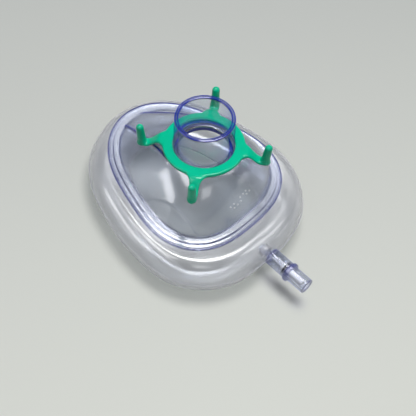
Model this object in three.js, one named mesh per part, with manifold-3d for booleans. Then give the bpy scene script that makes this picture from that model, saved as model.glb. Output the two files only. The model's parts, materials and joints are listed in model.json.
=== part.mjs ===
// Clear resuscitation face mask with a loose hook ring on its connector and a check valve
// in the rim of its air cushion. Millimetres, +Z up from the table the cushion rests on.
// The nose end is at +Y and the valve at -Y. The pieces are drawn with the connector's axis
// crossing X = 0, Y = 0 at the hook ring's top face, then moved along Y so that the origin
// lies under the middle of the whole mask.
import * as THREE from 'three';
import { ParametricGeometry } from 'three/addons/geometries/ParametricGeometry.js';
import { mergeVertices } from 'three/addons/utils/BufferGeometryUtils.js';
import Module from 'manifold-3d';

const rad = THREE.MathUtils.degToRad;

const ORIGIN_SHIFT_Y = 9.25;

// Gap left between pieces that touch or are bonded in the real mask.
const GAP = 0.3;

// Connector: a 22 mm female cone.
const RING_TOP_Z = 47;
const NECK_LEAN = rad(8.4);
const NECK_OUTER_R = 13;
const NECK_MOUTH_R = 11.2;
const NECK_THROAT_R = 10.95;
const NECK_TOP = 16.4;
const NECK_BOTTOM = -4.4;
const RIM_ROUND = 0.5;

// Hook ring. Heights are along the connector's axis from the ring's top face.
const RING_OUTER_R = 17.7;
const RING_INNER_R = NECK_OUTER_R + GAP;
const RING_THICK = 1.8;
const HOOK_TURN = rad(32);
const HOOK_COUNT = 4;
const ARM_THICK = 1.9;
const ARM_DROP = 6.2;
const ARM_SLOPE_START_R = 19;
const ARM_SLOPE_END_R = 24.2;
const ARM_HALF_WIDTH = 2.1;
const ARM_ROOT_HALF_WIDTH = 5.4;
const ARM_END_R = 26.8;
const POST_LEAN = rad(8);
const POST_BASE_R = 1.95;
const POST_TIP_R = 1.6;
const POST_HEIGHT = 9.6;

// Dome.
const WALL = 1.6;
const COLLAR_R = 14.4;
const CROWN_DROP = RING_THICK + GAP;
const DOME_INSET = 4.6;
const RIM_STEP = 2.3;
const RIM_Z = 21;
const RIM_THICK = 1.4;
const STEP_THICK = 1.2;
const FOOT_Z = RIM_Z + RIM_THICK + STEP_THICK - 0.6;

// Egg-shaped outlines seen from above: mean radius, narrowing towards the nose, ovalness
// and squareness of the chin, about a centre on the Y axis.
const RIM_EGG = { centreY: -2.9, mean: 36.5, narrow: 4.6, oval: 2.2, square: 3.1 };
const CUSHION_EGG = { centreY: -9, mean: 35.5, narrow: 7.3, oval: 2.7, square: 3 };

// Air cushion section.
const CUSHION_HALF_WIDTH = 9.5;
const CUSHION_HALF_HEIGHT = 11.4;
const CUSHION_MID_Z = 10.7;
const CUSHION_TOP_Z = RIM_Z - GAP;

// Check valve, along -Y. Distances are from the barrel's mask end, outwards.
const VALVE_Z = 12.5;
const VALVE_START_Y = -46.5;
const SPIGOT_LENGTH = 6;
const SPIGOT_R = 1.5;
const SPIGOT_BORE_R = 0.95;
const BARREL_R = 3.75;
const BARREL_BORE_R = 2.85;
const BARREL_LENGTH = 10.1;
const BARREL_END_WALL = 1.2;
const COLLAR_OUTER_R = 4.45;
const COLLAR_THICK = 1.6;
const PORT_R = 3.5;
const PORT_BORE_R = 1.95;
const PORT_MOUTH_R = 2.2;
const PORT_END = 21;
const SLEEVE_R = BARREL_BORE_R - GAP;
const SEAT = 9.4;
const SEAL_R = 2.4;
const SEAL_THICK = 0.9;
const PLUNGER_R = 1.45;
const PLUNGER_NECK_R = 0.7;
const PLUNGER_FLANGE_R = 2.2;
const PLUNGER_FLANGE_THICK = 0.8;
const PLUNGER_END = 18.4;
const SPRING_WIRE_R = 0.24;
const SPRING_R = 1.5;
const SPRING_TURNS = 7;
const GROMMET_R = 2.9;

const wasm = await Module();
wasm.setup();

// A geometry with shared vertices and outward faces.
function closed(source) {
  const bare = source.clone();
  for (const name of ['normal', 'uv']) bare.deleteAttribute(name);
  const geometry = mergeVertices(bare, 1e-4);
  const p = geometry.attributes.position;
  const index = geometry.index.array;
  const corner = [0, 1, 2].map(() => new THREE.Vector3());
  const kept = [];
  let volume = 0;
  for (let i = 0; i < index.length; i += 3) {
    const ids = [index[i], index[i + 1], index[i + 2]];
    if (new Set(ids).size < 3) continue;
    kept.push(...ids);
    ids.forEach((id, k) => corner[k].fromBufferAttribute(p, id));
    volume += corner[0].dot(corner[1].clone().cross(corner[2]));
  }
  if (volume < 0) for (let i = 0; i < kept.length; i += 3) kept.splice(i, 2, kept[i + 1], kept[i]);
  geometry.setIndex(kept);
  return geometry;
}

function toManifold(geometry) {
  const g = closed(geometry);
  return new wasm.Manifold(new wasm.Mesh({
    numProp: 3,
    vertProperties: Float32Array.from(g.attributes.position.array),
    triVerts: Uint32Array.from(g.index.array),
  }));
}

function fromManifold(body) {
  const { vertProperties, triVerts } = body.getMesh();
  const geometry = new THREE.BufferGeometry();
  geometry.setAttribute('position', new THREE.BufferAttribute(vertProperties, 3));
  geometry.setIndex(new THREE.BufferAttribute(triVerts, 1));
  return geometry;
}

const union = (...geometries) =>
  fromManifold(geometries.map(toManifold).reduce((a, b) => a.add(b)));
const subtract = (body, ...tools) =>
  fromManifold(tools.map(toManifold).reduce((a, b) => a.subtract(b), toManifold(body)));
const intersect = (a, b) => fromManifold(toManifold(a).intersect(toManifold(b)));

// A turned body from a closed [radius, height] profile. Its axis is Y.
const turned = (profile, segments = 48) => new THREE.LatheGeometry(
  [...profile, profile[0]].map(([r, h]) => new THREE.Vector2(r, h)), segments);

// The same body with its axis along Z.
const turnedUp = (profile, segments) => turned(profile, segments).rotateX(Math.PI / 2);

// ---- connector's own frame -------------------------------------------------------------
const neckFrame = new THREE.Matrix4()
  .makeTranslation(0, 0, RING_TOP_Z)
  .multiply(new THREE.Matrix4().makeRotationX(-NECK_LEAN));

function neckGeometry() {
  return turnedUp([
    [NECK_OUTER_R, -CROWN_DROP - WALL / 2],
    [NECK_OUTER_R, NECK_TOP - RIM_ROUND],
    [NECK_OUTER_R - RIM_ROUND, NECK_TOP],
    [NECK_MOUTH_R + RIM_ROUND, NECK_TOP],
    [NECK_MOUTH_R, NECK_TOP - RIM_ROUND],
    [NECK_THROAT_R, NECK_BOTTOM],
    [NECK_THROAT_R + WALL, NECK_BOTTOM],
    [NECK_THROAT_R + WALL, -CROWN_DROP - WALL],
    [COLLAR_R + 0.4, -CROWN_DROP - WALL],
    [COLLAR_R + 0.4, -CROWN_DROP],
    [NECK_OUTER_R, -CROWN_DROP],
  ], 64).applyMatrix4(neckFrame);
}

// ---- outlines and dome -----------------------------------------------------------------
// Angle t runs from the chin (-Y) through +X to the nose.
function eggPoint(egg, t, grow = 0) {
  const r = egg.mean - egg.narrow * Math.cos(t) + egg.oval * Math.cos(2 * t)
    - egg.square * Math.cos(3 * t);
  const slope = egg.narrow * Math.sin(t) - 2 * egg.oval * Math.sin(2 * t)
    + 3 * egg.square * Math.sin(3 * t);
  const outward = new THREE.Vector2(r * Math.sin(t) - slope * Math.cos(t),
    -r * Math.cos(t) - slope * Math.sin(t)).setLength(grow);
  return new THREE.Vector2(r * Math.sin(t), egg.centreY - r * Math.cos(t)).add(outward);
}

const eggRing = (egg, grow, count = 96) => Array.from({ length: count },
  (_, i) => eggPoint(egg, (i / count) * 2 * Math.PI, grow));

function rimPlate(outerGrow, z, thick) {
  const shape = new THREE.Shape(eggRing(RIM_EGG, outerGrow));
  shape.holes.push(new THREE.Path(eggRing(RIM_EGG, -DOME_INSET - WALL)));
  return new THREE.ExtrudeGeometry(shape, { depth: thick, bevelEnabled: false })
    .translate(0, 0, z);
}

// Outer face of the dome: s is 0 at the connector's collar and 1 at the foot on the rim.
// The cheeks and the chin are fuller than the nose.
function domePoint(t, s) {
  const top = new THREE.Vector3(COLLAR_R * Math.sin(t), -COLLAR_R * Math.cos(t), -CROWN_DROP)
    .applyMatrix4(neckFrame);
  const foot = eggPoint(RIM_EGG, t, -DOME_INSET);
  const full = 0.5 + 0.5 * Math.cos(t);
  const p = 1.2 + 0.4 * full;
  const q = 1 + 0.35 * full;
  const rise = Math.max(0, 1 - s ** p) ** (1 / q);
  return new THREE.Vector3(
    top.x + (foot.x - top.x) * s,
    top.y + (foot.y - top.y) * s,
    FOOT_Z + (top.z - FOOT_Z) * rise,
  );
}

function domeNormal(t, s) {
  const e = 1e-3;
  const s0 = Math.max(0, s - e);
  const along = domePoint(t, Math.min(1, s + e)).sub(domePoint(t, s0));
  const across = domePoint(t + e, s).sub(domePoint(t - e, s));
  return across.cross(along).normalize().negate();
}

function domeGeometry() {
  const rows = 10;
  const skin = (u, v, out) => {
    const t = u * 2 * Math.PI;
    const row = Math.round(v * (2 * rows + 2)) % (2 * rows + 2);
    const inner = row > rows;
    const s = Math.sin(((inner ? 2 * rows + 1 - row : row) / rows) * Math.PI / 2);
    out.copy(domePoint(t, s));
    if (inner) out.addScaledVector(domeNormal(t, s), -WALL);
  };
  return new ParametricGeometry(skin, 72, 2 * rows + 2);
}

// ---- air cushion -----------------------------------------------------------------------
function cushionGeometry() {
  const skin = (u, v, out) => {
    const a = v * 2 * Math.PI;
    const at = eggPoint(CUSHION_EGG, u * 2 * Math.PI, CUSHION_HALF_WIDTH * Math.cos(a));
    const z = CUSHION_MID_Z + CUSHION_HALF_HEIGHT * Math.sin(a);
    out.set(at.x, at.y, THREE.MathUtils.clamp(z, 0, CUSHION_TOP_Z));
  };
  return new ParametricGeometry(skin, 80, 26);
}

// ---- hook ring -------------------------------------------------------------------------
function ringPlate() {
  const c = 0.4;
  return turnedUp([
    [RING_INNER_R, -RING_THICK + c], [RING_INNER_R, -c], [RING_INNER_R + c, 0],
    [RING_OUTER_R - c, 0], [RING_OUTER_R, -c], [RING_OUTER_R, -RING_THICK + c],
    [RING_OUTER_R - c, -RING_THICK], [RING_INNER_R + c, -RING_THICK],
  ], 72);
}

// One arm along +X: its bent side view cut by its plan with a flared root and a round end.
function armGeometry() {
  const root = RING_OUTER_R - 2.4;
  const end = ARM_END_R + ARM_HALF_WIDTH;
  const low = -ARM_DROP;
  const side = new THREE.Shape();
  side.moveTo(root, -RING_THICK);
  side.lineTo(ARM_SLOPE_START_R - 0.8, -RING_THICK);
  side.quadraticCurveTo(ARM_SLOPE_START_R, -RING_THICK, ARM_SLOPE_START_R + 0.6, -RING_THICK - 0.5);
  side.lineTo(ARM_SLOPE_END_R - 0.6, low + 0.5);
  side.quadraticCurveTo(ARM_SLOPE_END_R, low, ARM_SLOPE_END_R + 0.9, low);
  side.lineTo(end, low);
  side.lineTo(end, low + ARM_THICK);
  side.lineTo(ARM_SLOPE_END_R + 1.6, low + ARM_THICK);
  side.quadraticCurveTo(ARM_SLOPE_END_R + 0.8, low + ARM_THICK,
    ARM_SLOPE_END_R + 0.2, low + ARM_THICK + 0.6);
  side.lineTo(ARM_SLOPE_START_R + 1, -0.5);
  side.quadraticCurveTo(ARM_SLOPE_START_R + 0.4, 0, ARM_SLOPE_START_R - 0.4, 0);
  side.lineTo(root, 0);
  side.closePath();
  const wide = 2 * ARM_ROOT_HALF_WIDTH + 2;
  const slab = new THREE.ExtrudeGeometry(side, { depth: wide, bevelEnabled: false, curveSegments: 4 })
    .translate(0, 0, -wide / 2)
    .rotateX(Math.PI / 2);

  const plan = new THREE.Shape();
  plan.moveTo(root, -ARM_ROOT_HALF_WIDTH);
  plan.lineTo(RING_OUTER_R - 0.9, -ARM_ROOT_HALF_WIDTH);
  plan.quadraticCurveTo(RING_OUTER_R + 1.6, -ARM_HALF_WIDTH, ARM_SLOPE_END_R - 1.5, -ARM_HALF_WIDTH);
  plan.lineTo(ARM_END_R, -ARM_HALF_WIDTH);
  plan.absarc(ARM_END_R, 0, ARM_HALF_WIDTH, -Math.PI / 2, Math.PI / 2, false);
  plan.lineTo(ARM_SLOPE_END_R - 1.5, ARM_HALF_WIDTH);
  plan.quadraticCurveTo(RING_OUTER_R + 1.6, ARM_HALF_WIDTH, RING_OUTER_R - 0.9, ARM_ROOT_HALF_WIDTH);
  plan.lineTo(root, ARM_ROOT_HALF_WIDTH);
  plan.closePath();
  const column = new THREE.ExtrudeGeometry(plan, { depth: 2 * ARM_DROP, bevelEnabled: false, curveSegments: 8 })
    .translate(0, 0, -1.5 * ARM_DROP);
  return intersect(slab, column);
}

function postGeometry() {
  const tip = Array.from({ length: 6 }, (_, i) => {
    const a = (i / 5) * Math.PI / 2;
    return [POST_TIP_R * Math.cos(a), POST_HEIGHT - POST_TIP_R + POST_TIP_R * Math.sin(a)];
  });
  tip[tip.length - 1][0] = 0;
  return turnedUp([[0, -1], [POST_BASE_R, -1], [POST_BASE_R, 0.6], ...tip], 20)
    .rotateY(POST_LEAN)
    .translate(ARM_END_R - 0.3, 0, -ARM_DROP + ARM_THICK);
}

function hookRingGeometry() {
  const arm = union(armGeometry(), postGeometry());
  const arms = Array.from({ length: HOOK_COUNT }, (_, i) =>
    arm.clone().rotateZ(HOOK_TURN + (i * 2 * Math.PI) / HOOK_COUNT));
  return union(ringPlate(), ...arms).applyMatrix4(neckFrame);
}

// ---- check valve -----------------------------------------------------------------------
// Profiles are [radius, distance outwards from the barrel's mask end].
const onValveAxis = (geometry) => geometry.rotateX(Math.PI).translate(0, VALVE_START_Y, VALVE_Z);
const valvePiece = (profile, segments = 32) => onValveAxis(turned(profile, segments));

const barrelProfile = [
  [SPIGOT_BORE_R, -SPIGOT_LENGTH], [SPIGOT_R - 0.2, -SPIGOT_LENGTH], [SPIGOT_R, -SPIGOT_LENGTH + 0.4],
  [SPIGOT_R, 0], [BARREL_R - 0.4, 0], [BARREL_R, 0.4], [BARREL_R, BARREL_LENGTH - 0.3],
  [BARREL_R - 0.3, BARREL_LENGTH], [BARREL_BORE_R, BARREL_LENGTH],
  [BARREL_BORE_R, BARREL_END_WALL], [SPIGOT_BORE_R, BARREL_END_WALL],
];
const collarStart = BARREL_LENGTH + GAP;
const portProfile = [
  [PORT_BORE_R, SEAT], [SLEEVE_R, SEAT], [SLEEVE_R, collarStart],
  [COLLAR_OUTER_R - 0.3, collarStart], [COLLAR_OUTER_R, collarStart + 0.3],
  [COLLAR_OUTER_R, collarStart + COLLAR_THICK - 0.3],
  [COLLAR_OUTER_R - 0.3, collarStart + COLLAR_THICK], [PORT_R, collarStart + COLLAR_THICK],
  [PORT_R, PORT_END - 0.3], [PORT_R - 0.3, PORT_END], [PORT_MOUTH_R, PORT_END],
];
const sealEnd = SEAT - GAP;
const sealStart = sealEnd - SEAL_THICK;
const flangeEnd = sealStart - 0.2;
const flangeStart = flangeEnd - PLUNGER_FLANGE_THICK;
const plungerProfile = [
  [0, BARREL_END_WALL + 1], [PLUNGER_NECK_R, BARREL_END_WALL + 1],
  [PLUNGER_NECK_R, flangeStart], [PLUNGER_FLANGE_R, flangeStart], [PLUNGER_FLANGE_R, flangeEnd],
  [PLUNGER_NECK_R, flangeEnd], [PLUNGER_NECK_R, sealEnd + 0.2], [PLUNGER_R, sealEnd + 0.2],
  [PLUNGER_R, PLUNGER_END - 0.3], [PLUNGER_R - 0.3, PLUNGER_END], [0, PLUNGER_END],
];
const sealProfile = [
  [PLUNGER_NECK_R + GAP, sealStart], [SEAL_R - 0.25, sealStart], [SEAL_R, sealStart + 0.25],
  [SEAL_R, sealEnd - 0.25], [SEAL_R - 0.25, sealEnd], [PLUNGER_NECK_R + GAP, sealEnd],
];
const grommetProfile = [
  [SPIGOT_R + GAP, -SPIGOT_LENGTH + 1], [GROMMET_R, -SPIGOT_LENGTH + 1],
  [GROMMET_R, -2.2], [SPIGOT_R + GAP, -2.2],
];

function springGeometry() {
  const start = BARREL_END_WALL + SPRING_WIRE_R + 0.2;
  const end = flangeStart - SPRING_WIRE_R - 0.2;
  class Helix extends THREE.Curve {
    getPoint(k, out = new THREE.Vector3()) {
      const a = k * SPRING_TURNS * 2 * Math.PI;
      return out.set(SPRING_R * Math.cos(a), start + (end - start) * k, SPRING_R * Math.sin(a));
    }
  }
  const wire = new THREE.Shape().absarc(0, 0, SPRING_WIRE_R, 0, 2 * Math.PI, false);
  return onValveAxis(new THREE.ExtrudeGeometry(wire, {
    extrudePath: new Helix(), steps: 90, curveSegments: 4, bevelEnabled: false,
  }));
}

function cushionWithPort() {
  const seatHole = valvePiece([
    [0, -SPIGOT_LENGTH + 1 - GAP], [GROMMET_R + GAP, -SPIGOT_LENGTH + 1 - GAP],
    [GROMMET_R + GAP, 3], [0, 3],
  ]);
  const airHole = valvePiece([
    [0, -SPIGOT_LENGTH - 2], [SPIGOT_R + GAP, -SPIGOT_LENGTH - 2],
    [SPIGOT_R + GAP, 0], [0, 0],
  ]);
  return subtract(cushionGeometry(), seatHole, airHole);
}

// ---- scene graph -----------------------------------------------------------------------
const clearShell = { color: 0xdfe3ea, roughness: 0.12, metalness: 0 };
const softFilm = { color: 0xe4e7e8, roughness: 0.2, metalness: 0 };
const clearValve = { color: 0xc9cfe6, roughness: 0.15, metalness: 0 };

const pieces = {
  dome_shell: [union(
    domeGeometry(),
    rimPlate(0, RIM_Z, RIM_THICK),
    rimPlate(-RIM_STEP, RIM_Z + RIM_THICK, STEP_THICK),
    neckGeometry(),
  ), clearShell],
  air_cushion: [cushionWithPort(), softFilm],
  hook_ring: [hookRingGeometry(), { color: 0x00c08a, roughness: 0.35, metalness: 0 }],
  cushion_port: [valvePiece(grommetProfile), softFilm],
  valve_barrel: [valvePiece(barrelProfile), clearValve],
  valve_port: [valvePiece(portProfile), clearValve],
  valve_plunger: [valvePiece(plungerProfile), { color: 0xf2f3f2, roughness: 0.4, metalness: 0 }],
  valve_seal: [valvePiece(sealProfile), { color: 0x18181a, roughness: 0.6, metalness: 0 }],
  valve_spring: [springGeometry(), { color: 0xb9bcc0, roughness: 0.25, metalness: 1 }],
};

const group = new THREE.Group();
group.name = 'bag_valve_mask';
for (const [name, [geometry, look]] of Object.entries(pieces)) {
  const placed = closed(geometry).translate(0, ORIGIN_SHIFT_Y, 0);
  const mesh = new THREE.Mesh(placed, new THREE.MeshStandardMaterial(look));
  mesh.name = name;
  group.add(mesh);
}

export default group;
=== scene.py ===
import json
import math

import bmesh
import bpy
from mathutils import Matrix, Vector
from mathutils.kdtree import KDTree


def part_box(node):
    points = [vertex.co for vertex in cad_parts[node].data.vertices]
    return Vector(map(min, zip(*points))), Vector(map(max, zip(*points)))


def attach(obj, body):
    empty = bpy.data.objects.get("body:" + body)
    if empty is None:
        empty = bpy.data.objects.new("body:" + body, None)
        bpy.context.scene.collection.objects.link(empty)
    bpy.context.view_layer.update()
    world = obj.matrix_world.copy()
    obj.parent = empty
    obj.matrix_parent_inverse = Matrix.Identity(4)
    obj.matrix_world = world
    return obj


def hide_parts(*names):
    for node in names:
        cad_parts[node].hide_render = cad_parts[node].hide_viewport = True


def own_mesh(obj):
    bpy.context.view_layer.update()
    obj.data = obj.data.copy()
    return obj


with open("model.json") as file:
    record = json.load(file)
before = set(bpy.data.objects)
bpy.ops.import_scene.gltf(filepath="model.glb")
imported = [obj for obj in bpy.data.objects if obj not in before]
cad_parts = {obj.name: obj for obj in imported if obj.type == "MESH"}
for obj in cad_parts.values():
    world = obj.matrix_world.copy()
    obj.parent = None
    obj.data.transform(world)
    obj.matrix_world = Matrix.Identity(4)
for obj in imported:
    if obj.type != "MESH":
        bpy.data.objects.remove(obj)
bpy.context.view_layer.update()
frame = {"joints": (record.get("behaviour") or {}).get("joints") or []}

MM = 0.001
TAU = 2 * math.pi
UP = Vector((0, 0, 1))

# Where the part's axes lie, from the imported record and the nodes' boxes.
turn_joint = next(j for j in frame["joints"] if j["name"] == "hook_ring_turn")
RING_TOP = Vector(turn_joint["pos_m"])
NECK_AXIS = Vector(turn_joint["axis"]).normalized()
NECK_FRAME = (Matrix.Translation(RING_TOP)
              @ UP.rotation_difference(NECK_AXIS).to_matrix().to_4x4())
VALVE_LOW, VALVE_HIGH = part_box("valve_barrel")
PORT_LOW, PORT_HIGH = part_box("valve_port")
VALVE_X = (VALVE_LOW.x + VALVE_HIGH.x) / 2
VALVE_Z = (VALVE_LOW.z + VALVE_HIGH.z) / 2
SHIFT_Y = RING_TOP.y
POLISH_Z = RING_TOP.z


# ---- finishes ---------------------------------------------------------------------------
FIRST_COLOUR, SECOND_COLOUR, MIXED_COLOUR = 6, 7, 2     # the Mix node's colour sockets
CHOSEN, FIRST, SECOND = 0, 1, 2                         # a Mix Shader's factor and shaders


class Value:
    """A shader socket that takes part in sums."""

    def __init__(self, finish, socket):
        self.finish, self.socket = finish, socket

    def math(self, operation, other=None, swapped=False):
        pair = (other, self) if swapped else (self, other)
        return self.finish.node("ShaderNodeMath", {"operation": operation},
                                {i: v for i, v in enumerate(pair) if v is not None})

    def __add__(self, other): return self.math("ADD", other)
    def __radd__(self, other): return self.math("ADD", other)
    def __sub__(self, other): return self.math("SUBTRACT", other)
    def __rsub__(self, other): return self.math("SUBTRACT", other, True)
    def __mul__(self, other): return self.math("MULTIPLY", other)
    def __rmul__(self, other): return self.math("MULTIPLY", other)


class Finish:
    """A material whose nodes are added one call at a time."""

    def __init__(self, name):
        self.material = bpy.data.materials.new(name)
        self.material.use_nodes = True
        self.tree = self.material.node_tree
        self.tree.nodes.clear()
        self.output = self.tree.nodes.new("ShaderNodeOutputMaterial")

    def node(self, kind, settings=None, sockets=None, out=0):
        node = self.tree.nodes.new(kind)
        for key, value in (settings or {}).items():
            setattr(node, key, value)
        for key, value in (sockets or {}).items():
            if isinstance(value, Value):
                self.tree.links.new(value.socket, node.inputs[key])
            else:
                node.inputs[key].default_value = value
        return Value(self, node.outputs[out])

    def shade(self, surface):
        self.tree.links.new(surface.socket, self.output.inputs["Surface"])
        return self.material

    def place(self, scale=(1, 1, 1), turn=(0, 0, 0)):
        at = self.node("ShaderNodeTexCoord", out="Object")
        return self.node("ShaderNodeMapping", sockets={
            "Vector": at, "Scale": scale, "Rotation": turn})

    def noise(self, scale, detail=2.0, rough=0.5, at=None):
        return self.node("ShaderNodeTexNoise", sockets={
            "Vector": at or self.place(), "Scale": scale, "Detail": detail,
            "Roughness": rough}, out="Fac")

    def ramp(self, value, low, high):
        return self.node("ShaderNodeMapRange", {"clamp": True},
                         {"Value": value, "From Min": low, "From Max": high}, out="Result")

    def blend(self, amount, first, second):
        """A mix of two colours."""
        return self.node("ShaderNodeMix", {"data_type": "RGBA"},
                         {"Factor": amount, FIRST_COLOUR: first, SECOND_COLOUR: second},
                         out=MIXED_COLOUR)

    def bump(self, height, distance):
        return self.node("ShaderNodeBump", sockets={
            "Height": height, "Distance": distance, "Strength": 1.0}, out="Normal")


def clear_plastic(name, tint, deep_tint, shadow, toner, depth, gloss, haze, ripple, ior=1.5,
                  milk=(0.0, 0.0), thin=0.0, coat=0.8):
    """Clear PVC: flow ripples, handling haze and hairline scratches. The "edge" attribute marks
    rims and creases, where the resin's violet-blue toner shows up to the given depth. Milk is
    the satin share, seen straight on and added at a glance, and thin the share seen straight
    through. The connector, polished in its mould, is glossier and clearer than the rest."""
    f = Finish(name)
    flow = f.noise(55, 3, 0.55)
    hazy = f.ramp(f.noise(28, 5, 0.6), 0.45, 0.75)
    hair = f.ramp(f.noise(900, 2, 0.5, f.place((1, 0.06, 1), (0, 0, 0.7))), 0.70, 0.78)
    dust = f.ramp(f.noise(2600, 1, 0.5), 0.74, 0.80)
    edge = f.node("ShaderNodeAttribute", {"attribute_name": "edge"}, out="Fac")
    height = f.node("ShaderNodeSeparateXYZ", sockets={"Vector": f.place()}, out="Z")
    polished = f.ramp(height, POLISH_Z - 0.002, POLISH_Z + 0.001)
    clean = 1 - polished * 0.8
    grazing = f.node("ShaderNodeLayerWeight", sockets={"Blend": 0.35}, out="Facing")

    rough = gloss * clean + hazy * haze + hair * 0.10 + dust * 0.15
    normal = f.bump(flow + hair * 0.03, ripple)
    body = f.node("ShaderNodeBsdfPrincipled", sockets={
        "Base Color": f.blend(flow * 0.3 + grazing * 0.9, (*tint, 1), (*deep_tint, 1)),
        "Roughness": rough, "Normal": normal, "Transmission Weight": 1.0, "IOR": ior,
        "Coat Weight": clean * coat, "Coat Roughness": 0.2})
    straight = f.node("ShaderNodeMixShader", sockets={
        CHOSEN: grazing * grazing,
        FIRST: f.node("ShaderNodeBsdfTransparent", sockets={"Color": (0.93, 0.95, 0.97, 1)}),
        SECOND: f.node("ShaderNodeBsdfTransparent", sockets={"Color": (0.30, 0.38, 0.80, 1)})})
    clear = f.node("ShaderNodeMixShader", sockets={
        CHOSEN: polished * 0.92 + thin, FIRST: body, SECOND: straight})
    satin = f.node("ShaderNodeBsdfPrincipled", sockets={
        "Base Color": f.blend(flow, (0.80, 0.80, 0.88, 1), (0.86, 0.865, 0.91, 1)),
        "Roughness": 0.35, "Normal": normal})
    milk_ahead, milk_glancing = milk
    milky = f.node("ShaderNodeMixShader", sockets={
        CHOSEN: (grazing * grazing) * milk_glancing + milk_ahead, FIRST: clear, SECOND: satin})
    rim = f.node("ShaderNodeBsdfPrincipled", sockets={
        "Base Color": f.blend(flow, (*toner, 1), (*[0.55 * c for c in toner], 1)),
        "Roughness": rough + 0.05, "Normal": normal,
        "Coat Weight": 0.5, "Coat Roughness": 0.08})
    surface = f.node("ShaderNodeMixShader", sockets={
        CHOSEN: edge * depth, FIRST: milky, SECOND: rim})

    # Light on its way to other surfaces goes straight through, so it makes no bright caustics.
    shade = f.node("ShaderNodeBsdfTransparent", sockets={"Color": (*shadow, 1)})
    for ray in ("Is Diffuse Ray", "Is Shadow Ray"):
        surface = f.node("ShaderNodeMixShader", sockets={
            CHOSEN: f.node("ShaderNodeLightPath", out=ray), FIRST: surface, SECOND: shade})
    return f.shade(surface)


def moulded(name, colour, deep, shine, rough, grain=0.00004, coat=0.0, specular=0.5):
    """Opaque moulded plastic or rubber: flow marks, fine grain, rubbed edges and scuffs."""
    f = Finish(name)
    flow = f.ramp(f.noise(70, 4, 0.6), 0.3, 0.7)
    fine = f.noise(2200, 2, 0.6)
    scuff = f.ramp(f.noise(420, 3, 0.55, f.place((1, 0.12, 0.6), (0.2, 0.1, 0.5))), 0.66, 0.74)
    worn = f.ramp(f.node("ShaderNodeNewGeometry", out="Pointiness"), 0.52, 0.60)
    base = f.blend(flow, (*deep, 1), (*colour, 1))
    lit = f.blend(worn * 0.2 + scuff * 0.10, base, (*shine, 1))
    roughness = rough + fine * 0.10 + scuff * 0.14 - worn * 0.04
    normal = f.bump(fine + flow * 0.5 - scuff * 0.4, grain)
    return f.shade(f.node("ShaderNodeBsdfPrincipled", sockets={
        "Base Color": lit, "Roughness": roughness, "Normal": normal,
        "Specular IOR Level": specular, "Coat Weight": coat, "Coat Roughness": 0.08}))


def spring_wire(name):
    """Drawn stainless wire with draw lines and duller patches."""
    f = Finish(name)
    lines = f.noise(3000, 2, 0.5, f.place((1, 0.2, 1)))
    patch = f.noise(400, 3, 0.6)
    colour = f.blend(patch, (0.50, 0.51, 0.54, 1), (0.86, 0.87, 0.90, 1))
    return f.shade(f.node("ShaderNodeBsdfPrincipled", sockets={
        "Base Color": colour, "Metallic": 1.0, "Roughness": 0.14 + lines * 0.22,
        "Normal": f.bump(lines, 0.00002)}))


# ---- making pieces by hand --------------------------------------------------------------
def deselect():
    if bpy.context.mode != "OBJECT":
        bpy.ops.object.mode_set(mode="OBJECT")
    bpy.ops.object.select_all(action="DESELECT")


def activate(piece):
    deselect()
    piece.select_set(True)
    bpy.context.view_layer.objects.active = piece


def modify(piece, kind, **settings):
    activate(piece)
    modifier = piece.modifiers.new(kind.title(), kind)
    for key, value in settings.items():
        setattr(modifier, key, value)
    bpy.ops.object.modifier_apply(modifier=modifier.name)


def lofted(name, rings, count, edges=None, close=False, capped=False):
    """A circle of count points, extruded once for each further ring. A ring is a function of
    the turn about the circle. Each ring may have an "edge" value, a number or a function of
    the place, that its points keep for the finish."""
    deselect()
    bpy.ops.mesh.primitive_circle_add(vertices=count, radius=0.01, fill_type="NOTHING")
    piece = bpy.context.object
    piece.name = piece.data.name = name
    turns = piece.data.attributes.new("turn", "FLOAT", "POINT")
    piece.data.attributes.new("edge", "FLOAT", "POINT")
    for i, vertex in enumerate(piece.data.vertices):
        turns.data[i].value = math.atan2(vertex.co.x, -vertex.co.y) % TAU
    bpy.ops.object.mode_set(mode="EDIT")
    bpy.ops.mesh.select_all(action="SELECT")
    for number, ring in enumerate(rings):
        if number:
            bpy.ops.mesh.extrude_edges_move()
        mesh = bmesh.from_edit_mesh(piece.data)
        turn, edge = (mesh.verts.layers.float[key] for key in ("turn", "edge"))
        shade = edges[number] if edges else 0.0
        for vertex in mesh.verts:
            if vertex.select:
                vertex.co = ring(vertex[turn])
                vertex[edge] = shade(vertex.co) if callable(shade) else shade
        bmesh.update_edit_mesh(piece.data)
    bpy.ops.mesh.select_all(action="SELECT")
    if close:
        bpy.ops.mesh.remove_doubles(threshold=1e-6)
    if capped:
        bpy.ops.mesh.fill_holes(sides=0)
    bpy.ops.mesh.normals_make_consistent(inside=False)
    bpy.ops.object.mode_set(mode="OBJECT")
    piece.data.attributes.remove(piece.data.attributes["turn"])
    return piece


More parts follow.
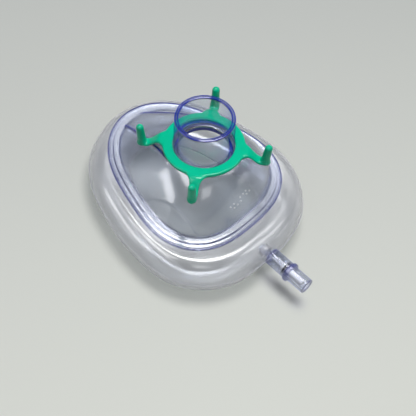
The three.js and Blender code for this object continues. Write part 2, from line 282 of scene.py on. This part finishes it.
def turned(name, profile, frame_matrix, steps=96, edge=None, bevel=0.0):
    """A closed profile of (radius, height) points in mm, spun about the frame's Z axis."""
    deselect()
    radius, height = profile[0]
    bpy.ops.mesh.primitive_plane_add(size=MM)
    piece = bpy.context.object
    piece.name = piece.data.name = name
    bpy.ops.object.mode_set(mode="EDIT")
    bpy.ops.mesh.merge(type="CENTER")
    mesh = bmesh.from_edit_mesh(piece.data)
    for vertex in mesh.verts:
        vertex.co = Vector((radius * MM, 0, height * MM))
    bmesh.update_edit_mesh(piece.data)
    for next_radius, next_height in [*profile[1:], profile[0]]:
        bpy.ops.mesh.extrude_vertices_move(TRANSFORM_OT_translate={
            "value": ((next_radius - radius) * MM, 0, (next_height - height) * MM)})
        radius, height = next_radius, next_height
    bpy.ops.mesh.select_all(action="SELECT")
    bpy.ops.mesh.spin(steps=steps, angle=TAU, center=(0, 0, 0), axis=(0, 0, 1))
    bpy.ops.mesh.select_all(action="SELECT")
    bpy.ops.mesh.remove_doubles(threshold=2e-6)
    bpy.ops.mesh.normals_make_consistent(inside=False)
    bpy.ops.object.mode_set(mode="OBJECT")
    if bevel:
        modify(piece, "BEVEL", width=bevel * MM, segments=3, limit_method="ANGLE",
               angle_limit=math.radians(35))
    if edge:
        values = piece.data.attributes.new("edge", "FLOAT", "POINT")
        for i, vertex in enumerate(piece.data.vertices):
            values.data[i].value = edge(math.hypot(vertex.co.x, vertex.co.y) / MM, vertex.co.z / MM)
    piece.data.transform(frame_matrix)
    return piece


def finish_piece(piece, material, body, slot=None, angle=30):
    piece.data.materials.clear()
    piece.data.materials.append(material)
    activate(piece)
    bpy.ops.object.shade_smooth_by_angle(angle=math.radians(angle))
    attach(piece, body)
    return piece


def smoothstep(value, low, high):
    k = min(1.0, max(0.0, (value - low) / (high - low)))
    return k * k * (3 - 2 * k)


# ---- outlines ---------------------------------------------------------------------------
# Egg-shaped outlines in mm: centre along Y, mean radius, narrowing, ovalness, squareness.
RIM_EGG = (-2.9, 36.5, 4.6, 2.2, 3.1)
CUSHION_EGG = (-9, 35.5, 7.3, 2.7, 3)
COLLAR_R = 14.4
CROWN_DROP = 2.1
DOME_INSET = 4.6
RIM_LOW, RIM_TOP, STEP_TOP = 21.0, 22.4, 23.6
RIM_STEP = 2.3
WALL = 1.6


def egg(outline, t, grow=0.0):
    """The outline's point at turn t from the chin, moved outwards by grow. In mm."""
    centre, mean, narrow, oval, square = outline
    r = mean - narrow * math.cos(t) + oval * math.cos(2 * t) - square * math.cos(3 * t)
    slope = narrow * math.sin(t) - 2 * oval * math.sin(2 * t) + 3 * square * math.sin(3 * t)
    side, ahead = math.sin(t), math.cos(t)
    outward = Vector((r * side - slope * ahead, -r * ahead - slope * side))
    at = Vector((r * side, centre - r * ahead))
    return at + outward.normalized() * grow


def at_rim(t, grow, z):
    at = egg(RIM_EGG, t, grow)
    return Vector((at.x * MM, at.y * MM + SHIFT_Y, z * MM))


def in_neck(t, r, z):
    return NECK_FRAME @ Vector((r * math.sin(t) * MM, -r * math.cos(t) * MM, z * MM))


# ---- dome, rim and connector in one clear moulding --------------------------------------
def plain_dome(t, s):
    top = in_neck(t, COLLAR_R, -CROWN_DROP)
    foot = at_rim(t, -DOME_INSET, STEP_TOP)
    full = 0.5 + 0.5 * math.cos(t)
    p, q = 1.2 + 0.4 * full, 1.0 + 0.35 * full
    rise = max(0.0, 1 - s ** p) ** (1 / q)
    at = top.lerp(foot, s)
    at.z = foot.z + (top.z - foot.z) * rise
    return at


def nose_ridge(at):
    """Distance in mm across the nose ridge from its crest, and how much of it is left here."""
    x, y = abs(at.x) / MM, at.y / MM
    along = (47.5 - y) / 30
    off = (x - (5.0 + 9.5 * along)) * 0.95
    return off, smoothstep(along, -0.12, -0.04) * (1 - smoothstep(along, 1.02, 1.16))


def cheek_arch(at):
    """Height in mm below the thumb rest's arched lip, and how much of it is left here."""
    x, y, z = abs(at.x) / MM, at.y / MM, at.z / MM
    return 33.8 - 9.0 * ((y - 0.3) / 14.3) ** 2 - z, smoothstep(x, 13, 18)


def dome_relief(at):
    off, ridged = nose_ridge(at)
    below, cheek = cheek_arch(at)
    crest = 0.6 * math.exp(-(off / 0.5) ** 2) * ridged
    bridge = 0.4 * (1 - smoothstep(off, -1.6, -0.3)) * ridged
    recess = -0.35 * smoothstep(below, -0.9, 0.9) * (1 - smoothstep(below, 6.0, 10.0)) * cheek
    lip = 0.15 * math.exp(-(below / 0.7) ** 2) * cheek
    return crest + bridge + recess + lip


def dome_edge(at):
    off, ridged = nose_ridge(at)
    below, cheek = cheek_arch(at)
    return math.exp(-(off / 0.62) ** 2) * ridged + 0.10 * math.exp(-(below / 0.4) ** 2) * cheek


def dome_point(t, s, inwards=0.0):
    at = plain_dome(t, s)
    e = 1e-3
    along = plain_dome(t, min(1.0, s + e)) - plain_dome(t, max(0.0, s - e))
    across = plain_dome(t + e, s) - plain_dome(t - e, s)
    outward = along.cross(across).normalized()
    if outward.z < 0:
        outward.negate()
    fade = smoothstep(s, 0.06, 0.16) * (1 - smoothstep(s, 0.965, 0.995))
    return at + outward * (dome_relief(at) * MM * fade - inwards * MM)


NECK_R, NECK_TOP = 13.0, 16.4
BORE_R, BORE_FOOT = 11.0, -4.4
DEEP_SIDE = Vector((0.857, 0.515, 0))


def bore_edge(at):
    """The lip of the bore shows its toner mostly on the side away from the camera, which is
    the +X and nose side."""
    away = (at - RING_TOP).dot(DEEP_SIDE) / (BORE_R * MM)
    return 0.15 + 0.85 * smoothstep(away, -0.35, 0.5)


def clear_dome():
    """One closed skin: rim plate, step, dome, connector, down its bore and back inside."""
    rows = 60
    steps = [math.sin((1 - k / rows) * math.pi / 2) for k in range(rows + 1)]
    loop = [(lambda t, g=g, z=z: at_rim(t, g, z), edge) for g, z, edge in (
        (-0.3, RIM_LOW, 0.3), (-0.05, RIM_LOW + 0.1, 0.9), (0.0, RIM_LOW + 0.25, 0.9),
        (0.0, RIM_LOW + 0.45, 0.1), (0.0, RIM_TOP - 0.45, 0.1), (0.0, RIM_TOP - 0.25, 0.7),
        (-0.08, RIM_TOP - 0.08, 0.8), (-0.22, RIM_TOP, 0.4), (-0.4, RIM_TOP, 0.0),
        (-1.9, RIM_TOP, 0.0), (-2.2, RIM_TOP + 0.1, 0.25),
        (-RIM_STEP, RIM_TOP + 0.35, 0.5), (-RIM_STEP, STEP_TOP - 0.35, 0.5),
        (-RIM_STEP - 0.1, STEP_TOP - 0.1, 0.3), (-RIM_STEP - 0.35, STEP_TOP, 0.05),
        (-DOME_INSET + 0.6, STEP_TOP, 0.0))]
    loop += [(lambda t, s=s: dome_point(t, s), dome_edge) for s in steps]
    loop += [(lambda t, r=r, z=z: in_neck(t, r, z), edge) for r, z, edge in (
        (13.6, -CROWN_DROP, 0.0), (13.15, -CROWN_DROP + 0.1, 0.0),
        (NECK_R, -CROWN_DROP + 0.5, 0.0), (NECK_R, 2, 0.0), (NECK_R, 8, 0.0),
        (NECK_R, 15.0, 0.0), (NECK_R, 15.7, 0.5), (12.95, 16.1, 1.0),
        (12.8, 16.3, 1.0), (12.5, NECK_TOP, 0.85), (12.1, NECK_TOP, 0.4),
        (11.7, NECK_TOP, 0.85), (11.4, 16.3, 1.0), (11.25, 16.1, 1.0), (11.2, 15.8, 0.5),
        (11.18, 15.2, 0.0), (11.1, 8, 0.0), (BORE_R, 0, 0.0), (10.96, -2.0, 0.0),
        (10.95, -2.4, bore_edge), (10.95, -3.8, bore_edge), (BORE_R, -4.2, bore_edge),
        (11.3, BORE_FOOT, bore_edge), (12.2, BORE_FOOT, bore_edge), (12.5, -4.2, bore_edge),
        (12.55, -3.9, 0.2))]
    loop += [(lambda t, s=s: dome_point(t, s, WALL), 0.0) for s in reversed(steps)]
    loop += [(lambda t, g=g, z=z: at_rim(t, g, z), edge) for g, z, edge in (
        (-DOME_INSET - WALL, RIM_TOP, 0.0), (-DOME_INSET - WALL, RIM_LOW + 0.3, 0.3),
        (-DOME_INSET - WALL + 0.2, RIM_LOW, 0.3), (-4.0, RIM_LOW, 0.0), (-2.0, RIM_LOW, 0.0),
        (-0.3, RIM_LOW, 0.5))]
    rings, edges = zip(*loop)
    return lofted("clear_dome", rings, 384, edges, close=True)


PIP_R = 0.4


def dome_pips():
    """Two rows of small moulded pips on the chin side of the dome, half sunk in its skin."""
    deselect()
    bpy.ops.mesh.primitive_uv_sphere_add(segments=16, ring_count=10, radius=PIP_R * MM)
    pattern = bpy.context.object
    places = [dome_point(-0.30 + 0.075 * k, 0.818 - 0.015 * k - 0.06 * row)
              for row in range(2) for k in range(7) if (k + 2 * row) % 4]
    copies = []
    for place in places:
        activate(pattern)
        bpy.ops.object.duplicate()
        copy = bpy.context.object
        copy.data.transform(Matrix.Translation(place))
        copies.append(copy)
    activate(pattern)
    bpy.ops.object.delete()
    activate(copies[0])
    for copy in copies[1:]:
        copy.select_set(True)
    bpy.ops.object.join()
    copies[0].name = "dome_pips"
    return copies[0]


# ---- air cushion ------------------------------------------------------------------------
CUSHION_MID, CUSHION_TOP = 10.7, 20.75
TUBE_WIDE, TUBE_TALL = 9.5, 11.4
FILM = 0.55
RIM_PLACES = 1440


def soft_min(a, b, round_over):
    h = min(1.0, max(0.0, 0.5 + 0.5 * (b - a) / round_over))
    return b + (a - b) * h - round_over * h * (1 - h)


def beyond_rim(at, rim_tree, rim_points):
    """How far outside the rim's edge a point lies, in mm."""
    _, index, _ = rim_tree.find((at.x, at.y, 0))
    place, outward = rim_points[index]
    return (at - place).dot(outward)


def bladder():
    """The cushion's film: a tube around the face, pressed flat below by the table and above by
    the rim, with a welded seam. The film runs with slow waves."""
    turns = [k / RIM_PLACES * TAU for k in range(RIM_PLACES)]
    rim_points = [(egg(RIM_EGG, t), (egg(RIM_EGG, t, 1) - egg(RIM_EGG, t)).normalized())
                  for t in turns]
    rim_tree = KDTree(len(rim_points))
    for k, (place, _) in enumerate(rim_points):
        rim_tree.insert((place.x, place.y, 0), k)
    rim_tree.balance()

    def skin(t, angle, proud):
        wave = (0.14 * math.sin(5 * t + 0.8) * math.sin(2 * angle + t)
                + 0.1 * math.sin(9 * t - angle))
        wide = TUBE_WIDE + proud + wave * abs(math.cos(angle))
        at = egg(CUSHION_EGG, t, wide * math.cos(angle))
        high = CUSHION_MID + (TUBE_TALL + wave) * math.sin(angle)
        out = beyond_rim(at, rim_tree, rim_points)
        ceiling = CUSHION_TOP + 0.9 * smoothstep(out, 0.4, 4.4)
        high = soft_min(high, ceiling, 1.4)
        high = -soft_min(-high, 0.0, 1.2) - 0.1
        return Vector((at.x * MM, at.y * MM + SHIFT_Y, max(0.02, high) * MM))

    seam = [(-4.5, 0), (-2.6, 0), (-2.0, 0.35), (0, 0.4), (2.0, 0.35), (2.6, 0), (4.5, 0)]
    stations = [(math.radians(a), h) for a, h in seam]
    stations += [(math.radians(a), 0) for a in range(9, 353, 4)]
    stations.append(stations[0])
    rings = [lambda t, a=a, h=h: skin(t, a, h) for a, h in stations]
    welded = [0.9 if 0 < h < 0.4 else 0.0 for _, h in seam] + [0.0] * (len(stations) - len(seam))
    piece = lofted("bladder", rings, 320, welded, close=True)
    modify(piece, "SOLIDIFY", thickness=FILM * MM, offset=-1, use_even_offset=True)
    return piece


# ---- hook ring --------------------------------------------------------------------------
HOOK_TURN = math.radians(32)
ARM_BEND_R, ARM_END_R = 22.7, 26.8
ARM_HALF = 2.1
POST_R, POST_TOP = 1.68, 10.4
BEND_STEPS, END_STEPS = 16, 12


def hooks():
    """The ring, and one arm with its post copied four times, fused with filleted roots."""
    ring = turned("hooks", ((13.3, -1.5), (13.3, -0.3), (13.6, 0), (17.3, 0), (17.7, -0.4),
                            (17.7, -1.4), (17.3, -1.8), (13.6, -1.8)), Matrix(), steps=120)
    stations = []
    for k in range(BEND_STEPS + END_STEPS + 1):
        u = k / BEND_STEPS
        if u < 1:
            r = (1 - u) ** 2 * 16.7 + 2 * u * (1 - u) * 18.9 + u * u * ARM_BEND_R
            half = (1 - u) ** 2 * 5.2 + (2 * u * (1 - u) + u * u) * ARM_HALF
        else:
            r = ARM_BEND_R + (ARM_END_R + ARM_HALF - ARM_BEND_R) * (k - BEND_STEPS) / END_STEPS
            past = max(0.0, r - ARM_END_R) / ARM_HALF
            half = ARM_HALF * math.sqrt(max(0.02, 1 - past * past))
        stations.append((r, half, -0.95 - 4.3 * smoothstep(r, 18.4, 24.8), 0.92))

    def section(t, r, half, middle, thick):
        side, up = math.cos(t), math.sin(t)
        return Vector((r, half * math.copysign(abs(side) ** 0.55, side),
                       middle + thick * math.copysign(abs(up) ** 0.7, up))) * MM

    arm = lofted("arm", [lambda t, p=p: section(t, *p) for p in stations], 48, capped=True)
    lean = Matrix.Translation(Vector((ARM_END_R - 0.3, 0, -5.2)) * MM) @ Matrix.Rotation(
        math.radians(8), 4, "Y")
    tip = [(POST_R * math.cos(a), POST_TOP - POST_R + POST_R * math.sin(a))
           for a in (k / 8 * math.pi / 2 for k in range(1, 9))]
    post = turned("post", [(0, 0), (ARM_HALF, 0), (2.05, 1.5), (1.85, 2.2), (POST_R, 8.7),
                           *tip], lean, steps=40)
    activate(arm)
    post.select_set(True)
    bpy.ops.object.join()
    arms = [arm]
    for k in range(1, 4):
        activate(arm)
        bpy.ops.object.duplicate()
        arms.append(bpy.context.object)
    for k, copy in enumerate(arms):
        copy.data.transform(Matrix.Rotation(HOOK_TURN + k * TAU / 4, 4, "Z"))
    activate(ring)
    for copy in arms:
        copy.select_set(True)
    bpy.ops.object.join()
    modify(ring, "REMESH", mode="VOXEL", voxel_size=0.28 * MM, adaptivity=0.0)
    modify(ring, "SMOOTH", factor=0.5, iterations=7)
    ring.data.transform(NECK_FRAME)
    return ring


# ---- check valve ------------------------------------------------------------------------
SPIGOT_LENGTH, SPIGOT_R, SPIGOT_BORE_R = 6, 1.5, 0.95
VALVE_FRAME = (Matrix.Translation((VALVE_X, VALVE_HIGH.y - SPIGOT_LENGTH * MM, VALVE_Z))
               @ Matrix.Rotation(math.radians(90), 4, "X"))
BARREL_END, COLLAR_END, PORT_END = 10.1, 12.0, 21.0
BARREL_R, BARREL_BORE_R, BARREL_FLOOR = 3.75, 2.85, 1.2
COLLAR_OUT_R, PORT_R = 4.45, 3.5
STEM_R, HEAD_R = 0.7, 1.45


def barrel_edge(r, h):
    wall = (1 - smoothstep(h, 0.7, 1.1)) * smoothstep(r, 1.6, 2.6) * smoothstep(h, -0.2, 0.0)
    return 0.45 * wall + 0.45 * smoothstep(h, 9.5, 9.9)


def port_edge(r, h):
    collar = smoothstep(h, 10.2, 10.5) * (1 - smoothstep(h, 11.9, 12.3)) * smoothstep(r, 3.3, 4.2)
    return 0.5 * collar + 0.65 * smoothstep(h, 20.5, 20.8)


def valve():
    """The valve's turned pieces. Heights run from the barrel's foot towards the port."""
    barrel = turned("valve_body", (
        (SPIGOT_BORE_R, -SPIGOT_LENGTH), (SPIGOT_R, -SPIGOT_LENGTH), (SPIGOT_R, -0.8),
        (SPIGOT_R, 0), (BARREL_R, 0), (BARREL_R, 0.7), (BARREL_R, 1.1), (BARREL_R, 9.3),
        (BARREL_R, 9.6), (BARREL_R, BARREL_END), (BARREL_BORE_R, BARREL_END),
        (BARREL_BORE_R, 9.6), (BARREL_BORE_R, 9.3), (BARREL_BORE_R, 1.5),
        (BARREL_BORE_R, BARREL_FLOOR), (SPIGOT_BORE_R, BARREL_FLOOR)),
        VALVE_FRAME, 96, barrel_edge, 0.18)
    port = turned("valve_luer", (
        (1.95, 9.4), (2.55, 9.4), (2.55, 10.4), (COLLAR_OUT_R, 10.4),
        (COLLAR_OUT_R, COLLAR_END), (PORT_R, COLLAR_END), (PORT_R, 12.4), (PORT_R, 20.2),
        (PORT_R, 20.6), (PORT_R, PORT_END), (2.2, PORT_END), (2.2, 20.6), (2.18, 20.2),
        (2.0, 12.4)), VALVE_FRAME, 96, port_edge, 0.16)
    plunger = turned("valve_stem", (
        (0, 2.2), (STEM_R, 2.2), (STEM_R, 7.2), (2.2, 7.2), (2.2, 8.0), (STEM_R, 8.0),
        (STEM_R, 9.3), (HEAD_R, 9.3), (HEAD_R, 18.4), (0, 18.4)), VALVE_FRAME, 64, None, 0.14)
    seal = turned("valve_washer", (
        (1.0, 8.2), (2.4, 8.2), (2.4, 9.1), (1.0, 9.1)), VALVE_FRAME, 64, None, 0.2)
    grommet = turned("cushion_grommet", (
        (1.8, -5.0), (2.9, -5.0), (2.9, -2.2), (1.8, -2.2)), VALVE_FRAME, 64,
        lambda r, h: 0.15, 0.25)
    return barrel, port, plunger, seal, grommet


WIRE_R, COIL_R, COIL_FOOT = 0.24, 1.5, 1.64
COIL_TURNS, COIL_LENGTH = 7, 5.12


def spring():
    """A circle of wire wound by the screw modifier."""
    deselect()
    bpy.ops.mesh.primitive_circle_add(vertices=14, radius=WIRE_R * MM, fill_type="NOTHING",
                                      rotation=(math.radians(90), 0, 0))
    bpy.ops.object.transform_apply(location=True, rotation=True, scale=True)
    piece = bpy.context.object
    piece.name = piece.data.name = "valve_coil"
    piece.data.transform(Matrix.Translation((COIL_R * MM, 0, COIL_FOOT * MM)))
    modify(piece, "SCREW", angle=TAU, screw_offset=COIL_LENGTH / COIL_TURNS * MM,
           iterations=COIL_TURNS, steps=40, render_steps=40, axis="Z")
    activate(piece)
    bpy.ops.object.mode_set(mode="EDIT")
    bpy.ops.mesh.select_all(action="SELECT")
    bpy.ops.mesh.fill_holes(sides=0)
    bpy.ops.mesh.normals_make_consistent(inside=False)
    bpy.ops.object.mode_set(mode="OBJECT")
    piece.data.transform(VALVE_FRAME)
    return piece


# The dome's tint is much darker than the resin's own colour: it also holds painted shade, the shade
# on the floor under the dome, while the dome's shadow colour is kept nearly clear.
dome_plastic = clear_plastic("clear_moulded_pvc", (0.60, 0.62, 0.69), (0.35, 0.43, 0.64),
                             (0.945, 0.95, 0.96), (0.015, 0.03, 0.42), 1.0, 0.14, 0.06, 0.0002)
film_plastic = clear_plastic("clear_cushion_film", (0.95, 0.955, 0.965), (0.88, 0.88, 0.92),
                             (0.84, 0.845, 0.85), (0.88, 0.88, 0.94), 0.7, 0.12, 0.06, 0.0003,
                             1.25, (0.08, 0.55))
pip_plastic = clear_plastic("frosted_pip_pvc", (0.90, 0.91, 0.94), (0.80, 0.82, 0.90),
                            (0.95, 0.95, 0.96), (0.40, 0.42, 0.62), 0.0, 0.10, 0.05, 0.0001,
                            1.45, (0.62, 0.2))
valve_plastic = clear_plastic("clear_valve_plastic", (0.80, 0.81, 0.92), (0.42, 0.43, 0.75),
                              (0.93, 0.93, 0.96), (0.03, 0.035, 0.40), 1.0, 0.03, 0.05, 0.00004,
                              thin=0.55, coat=0.0)
green_plastic = moulded("emerald_moulded_plastic", (0.0, 0.54, 0.31), (0.0, 0.46, 0.26),
                        (0.0, 0.66, 0.40), 0.26, 0.00003, 0.35, specular=0.08)
white_plastic = moulded("white_moulded_plastic", (0.90, 0.91, 0.91), (0.84, 0.85, 0.85),
                        (0.95, 0.95, 0.95), 0.32)
black_rubber = moulded("black_seal_rubber", (0.012, 0.012, 0.014), (0.008, 0.008, 0.01),
                       (0.06, 0.06, 0.065), 0.5)
steel_wire = spring_wire("bright_spring_wire")

dome = finish_piece(clear_dome(), dome_plastic, "mask", "clear_shell")
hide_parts("dome_shell")
finish_piece(dome_pips(), pip_plastic, "mask", "clear_shell", 60)
cushion = finish_piece(bladder(), film_plastic, "mask", "cushion_film")
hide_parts("air_cushion")
ring = finish_piece(hooks(), green_plastic, "hooks", "green_plastic", 60)
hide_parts("hook_ring")
barrel, port, plunger, seal, grommet = valve()
for piece, material, body, slot, node in (
        (barrel, valve_plastic, "mask", "clear_valve", "valve_barrel"),
        (port, valve_plastic, "mask", "clear_valve", "valve_port"),
        (plunger, white_plastic, "plunger", "white_plastic", "valve_plunger"),
        (seal, black_rubber, "plunger", "black_rubber", "valve_seal"),
        (grommet, film_plastic, "mask", "cushion_film", "cushion_port")):
    finish_piece(piece, material, body, slot)
    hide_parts(node)
coil = finish_piece(spring(), steel_wire, "mask", "spring_steel", 60)
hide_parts("valve_spring")
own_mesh(coil)


# ---- floor, light and camera ------------------------------------------------------------
def pale_floor():
    deselect()
    bpy.ops.mesh.primitive_plane_add(size=6, location=(0, 0, 0))
    floor = bpy.context.object
    floor.name = "pale_floor"
    f = Finish("pale_floor")
    tone_and_painted_light = f.noise(3, 2) * 0.2
    # Painted light: the floor's colour grows lighter towards the camera, a painted pool of light
    # standing in for the lamps falling off across it; the noise adds a faint random tone.
    across = f.node("ShaderNodeSeparateXYZ", sockets={"Vector": f.place(turn=(0, 0, 2.26))})
    tone_and_painted_light = tone_and_painted_light + f.ramp(across, -0.13, 0.13)
    colour = f.blend(tone_and_painted_light, (0.44, 0.455, 0.44, 1), (0.64, 0.655, 0.61, 1))
    floor.data.materials.append(f.shade(f.node("ShaderNodeBsdfPrincipled", sockets={
        "Base Color": colour, "Roughness": 0.65})))


def soft_light(name, azimuth, elevation, distance, size, power, fills, shines):
    """A softbox aimed at the mask. Azimuth 0 is on the -Y side and 90 on the +X side."""
    az, el = math.radians(azimuth), math.radians(elevation)
    towards = Vector((math.sin(az) * math.cos(el), -math.cos(az) * math.cos(el), math.sin(el)))
    deselect()
    bpy.ops.object.light_add(type="AREA", location=Vector((0, 0, 0.02)) + towards * distance)
    lamp = bpy.context.object
    lamp.name = name
    lamp.data.shape = "RECTANGLE"
    lamp.data.size, lamp.data.size_y = size
    lamp.data.energy = power
    lamp.rotation_euler = (-towards).to_track_quat("-Z", "Y").to_euler()
    lamp.visible_diffuse, lamp.visible_glossy = fills, shines


CAMERA_AZIMUTH, CAMERA_ELEVATION = math.radians(-59.03), math.radians(56.09)
CAMERA_ROLL = math.radians(14.43)
CAMERA_DISTANCE = 0.9150
CAMERA_AIM = Vector((-0.00697, -0.00483, 0.020))
CAMERA_LENS = 184.1


def add_camera():
    back = Vector((math.sin(CAMERA_AZIMUTH) * math.cos(CAMERA_ELEVATION),
                   -math.cos(CAMERA_AZIMUTH) * math.cos(CAMERA_ELEVATION),
                   math.sin(CAMERA_ELEVATION)))
    level = Vector((math.cos(CAMERA_AZIMUTH), math.sin(CAMERA_AZIMUTH), 0))
    upright = back.cross(level)
    right = level * math.cos(CAMERA_ROLL) + upright * math.sin(CAMERA_ROLL)
    deselect()
    bpy.ops.object.camera_add(location=CAMERA_AIM + back * CAMERA_DISTANCE)
    camera = bpy.context.object
    camera.rotation_euler = Matrix((right, back.cross(right), back)).transposed().to_euler()
    camera.data.lens = CAMERA_LENS
    camera.data.sensor_width = 36
    bpy.context.scene.camera = camera


pale_floor()
add_camera()
world = bpy.data.worlds.new("soft_room")
bpy.context.scene.world = world
world.use_nodes = True
world.node_tree.nodes["Background"].inputs["Color"].default_value = (0.80, 0.86, 0.90, 1)
world.node_tree.nodes["Background"].inputs["Strength"].default_value = 0.09
for lamp in (("far_softbox", 121, 79, 1.1, (0.5, 0.45), 12.3, True, True),
             ("fill_softbox", -59, 62, 1.3, (0.9, 0.7), 0.7, True, False),
             ("left_softbox", -113, 49, 1.0, (0.62, 0.5), 4.6, False, True),
             ("front_softbox", -36, 38, 1.0, (0.36, 0.3), 0.7, False, True),
             ("right_softbox", 40, 42, 1.0, (0.4, 0.35), 1.5, False, True),
             ("low_left_window", -124, 6, 1.0, (0.62, 0.2), 2.1, False, True),
             ("low_right_window", 37, 2, 1.0, (0.3, 0.2), 0.3, False, True)):
    soft_light(*lamp)
bpy.context.scene.view_settings.view_transform = "Standard"
